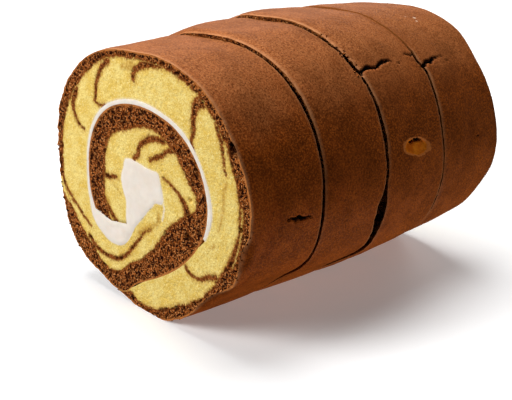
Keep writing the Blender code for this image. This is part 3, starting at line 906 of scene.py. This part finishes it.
def skin_material():
    """Baked chocolate skin: smooth, matt, mottled, split and torn open in places, with painted shade in a band
    along its side and in its splits, and painted glints.
    """
    material, tree, shader = new_material("baked skin")
    place = node(tree, "ShaderNodeTexCoord").outputs["Object"]
    place = node(tree, "ShaderNodeSeparateXYZ", {"Vector": place})
    height, along = place.outputs["Z"], place.outputs["Y"]
    wavy = sum_of(tree, "ADD", height, sum_of(tree, "MULTIPLY", spots(tree, 16.0), 0.016))
    to_top, to_back = spread(tree, wavy, 0.066, 0.087), spread(tree, along, -0.05, 0.04)
    dull = blend(tree, to_top, blend(tree, to_back, (0.205, 0.038, 0.004), (0.205, 0.050, 0.012)),
                 (0.246, 0.071, 0.018))
    bright = blend(tree, to_top, blend(tree, to_back, (0.32, 0.059, 0.006), (0.295, 0.076, 0.020)),
                   (0.327, 0.098, 0.027))
    colour = blend(tree, spread(tree, spots(tree, 10.0, 2.0), 0.40, 0.60), dull, bright)
    # Painted shade: a darker band along the roll's side, below the lit top.
    painted_side_shade = sum_of(tree, "MULTIPLY", spread(tree, wavy, 0.052, 0.062, 0.0, 0.34),
                       spread(tree, wavy, 0.068, 0.080, 1.0, 0.0))
    colour = blend(tree, painted_side_shade, colour, (0.085, 0.016, 0.001))
    brushed = spots(tree, 2.5, 2.0, stretch=(0.15, 1.0, 0.15))
    colour = blend(tree, spread(tree, brushed, 0.4, 0.7, 0.0, 0.3), colour,
                   blend(tree, to_top, (0.32, 0.072, 0.008), (0.37, 0.128, 0.042)))
    grain = sum_of(tree, "MULTIPLY", spread(tree, spots(tree, 0.5, 2.0), 0.45, 0.60),
                   spread(tree, spots(tree, 20.0), 0.3, 0.7, 0.45, 1.0))
    colour = blend(tree, grain, colour, blend(tree, to_top, (0.50, 0.117, 0.014), (0.47, 0.170, 0.055)))
    colour = blend(tree, spread(tree, spots(tree, 0.47, 2.0), 0.36, 0.52, 0.66, 0.0), colour,
                   (0.095, 0.020, 0.003))
    to_left = spread(tree, sum_of(tree, "SUBTRACT", 0.0, place.outputs["X"]), 0.012, 0.036, 0.0, 0.55)
    colour = blend(tree, to_left, colour, (0.235, 0.088, 0.031))
    # Lighter orange rim along the cut edges: partly the crust's own colour, partly a painted highlight.
    edge = sum_of(tree, "MULTIPLY", value_of(tree, "edge"),
                  spread(tree, spots(tree, 3.0), 0.3, 0.6, 0.45, 0.9))
    colour = blend(tree, edge, colour, (0.56, 0.240, 0.100))
    inside = blend(tree, spread(tree, spots(tree, 2.4), 0.35, 0.65),
                   (0.62, 0.130, 0.006), (0.85, 0.235, 0.012))
    torn = value_of(tree, "torn")
    colour = blend(tree, spread(tree, torn, -0.32, -0.08, 0.0, 0.6), colour, (0.80, 0.255, 0.060))
    colour = blend(tree, spread(tree, torn, 0.10, 0.35), colour, inside)
    # Painted glints: small pale highlight spots.
    colour = blend(tree, spread(tree, value_of(tree, "fleck"), 0.0, 0.25), colour, (0.62, 0.42, 0.30))
    # Painted shade: near-black inside the splits in the skin.
    colour = blend(tree, spread(tree, value_of(tree, "split"), -0.10, 0.14), colour,
                   (0.010, 0.003, 0.001))
    tree.links.new(colour, shader.inputs["Base Color"])
    shader.inputs["Roughness"].default_value = 0.58
    shader.inputs["Specular IOR Level"].default_value = 0.55
    bump(tree, shader, spots(tree, 0.6, 4.0), 0.12, 0.6)
    return material


def cream_material():
    material, tree, shader = new_material("whipped cream")
    colour = blend(tree, spread(tree, spots(tree, 5.0), 0.3, 0.7),
                   (0.90, 0.79, 0.68), (0.95, 0.85, 0.75))
    tree.links.new(colour, shader.inputs["Base Color"])
    shader.inputs["Roughness"].default_value = 0.5
    shader.inputs["Subsurface Weight"].default_value = 0.2
    shader.inputs["Subsurface Radius"].default_value = (1.0, 0.7, 0.5)
    shader.inputs["Subsurface Scale"].default_value = 0.001
    bump(tree, shader, spots(tree, 1.5, 3.0), 0.1, 0.3)
    return material


# ---------------------------------------------------------------- studio
def look_from(camera_place, azimuth, elevation):
    """A camera's matrix: azimuth 0 looks along +Y, elevation is how far it looks down."""
    turn, tip = math.radians(azimuth), math.radians(elevation)
    forward = Vector((-math.sin(turn) * math.cos(tip), math.cos(turn) * math.cos(tip), -math.sin(tip)))
    rotation = forward.to_track_quat("-Z", "Y").to_matrix().to_4x4()
    return Matrix.Translation(camera_place) @ rotation


def studio():
    scene = bpy.context.scene
    camera = bpy.data.objects.new("camera", bpy.data.cameras.new("camera"))
    camera.data.lens = 69.08
    camera.data.sensor_width = 36.0
    camera.data.clip_start = 0.01
    front_axis = Vector((CORE_X, -LENGTH / 2, CORE_Z))
    camera.matrix_world = look_from((front_axis + Vector((212.5, -157.3, 102.7))) * MM, 46.38, 22.15)
    scene.collection.objects.link(camera)
    scene.camera = camera

    for name, place, target, size, power, gloss in (
            ("overhead", (-0.10, 0.06, 0.62), (0, 0, 0.04), 0.40, 4.2, False),
            ("front left", (-0.34, -0.60, 0.34), (0, -0.03, 0.04), 0.35, 6.6, False),
            ("from the floor", (0.25, 0.08, -0.25), (0, 0, 0.04), 0.25, 0.87, False),
            ("behind", (-0.30, 0.75, 0.22), (0, 0.05, 0.04), 0.35, 3.0, False),
            ("white wall", (-0.58, 0.52, 0.36), (0, 0, 0.07), 0.50, 0.5, True)):
        light = bpy.data.lights.new(name, "AREA")
        light.size = size
        light.energy = power
        lamp = bpy.data.objects.new(name, light)
        aim = Vector(target) - Vector(place)
        lamp.matrix_world = Matrix.Translation(place) @ aim.to_track_quat("-Z", "Y").to_matrix().to_4x4()
        lamp.visible_glossy = gloss
        scene.collection.objects.link(lamp)

    world = bpy.data.worlds.new("studio")
    world.use_nodes = True
    background = world.node_tree.nodes["Background"]
    background.inputs["Color"].default_value = (1.0, 1.0, 1.0, 1.0)
    background.inputs["Strength"].default_value = 0.01
    scene.world = world
    scene.view_settings.view_transform = "Standard"

    half = 2.5
    floor_mesh = bpy.data.meshes.new("floor")
    floor_mesh.from_pydata([(-half, -half, 0), (half, -half, 0), (half, half, 0), (-half, half, 0)],
                           [], [(0, 1, 2, 3)])
    floor = bpy.data.objects.new("floor", floor_mesh)
    scene.collection.objects.link(floor)
    material, _, shader = new_material("pale floor")
    shader.inputs["Base Color"].default_value = (0.88, 0.88, 0.88, 1.0)
    shader.inputs["Roughness"].default_value = 0.9
    shader.inputs["Emission Color"].default_value = (1.0, 1.0, 1.0, 1.0)
    shader.inputs["Emission Strength"].default_value = 0.2
    floor_mesh.materials.append(material)
    floor.visible_diffuse = False
    floor.visible_glossy = False
    floor.visible_shadow = False


# ---------------------------------------------------------------- the cake
def main():
    studio()
    crumb_look, skin_look, cream_look = crumb_material(), skin_material(), cream_material()
    last = len(SLICES) - 1
    chocolate, sizes = [], []
    for number in range(len(SLICES)):
        shown = number in (0, last)
        inner_step, outer_step = COLUMN_STEPS[number]
        front_rows, back_rows = 16 if number == 0 else 8, 16 if number == last else 8
        chocolate.append(sponge_piece(number, "chocolate", [crumb_look, skin_look],
                                      inner_step=inner_step, outer_step=outer_step,
                                      front_rows=front_rows, side_rows=64, back_rows=back_rows))
        sizes.append((front_rows, 64))
        sponge_piece(number, "vanilla", [crumb_look],
                     inner_step=0.5 if shown else 1.6, outer_step=0.5 if shown else 1.0,
                     front_rows=30 if number == 0 else 8, side_rows=2,
                     back_rows=30 if number == last else 8)
        cream_piece(number, cream_look)
    loose_crumbs(chocolate, sizes, crumb_look)


main()
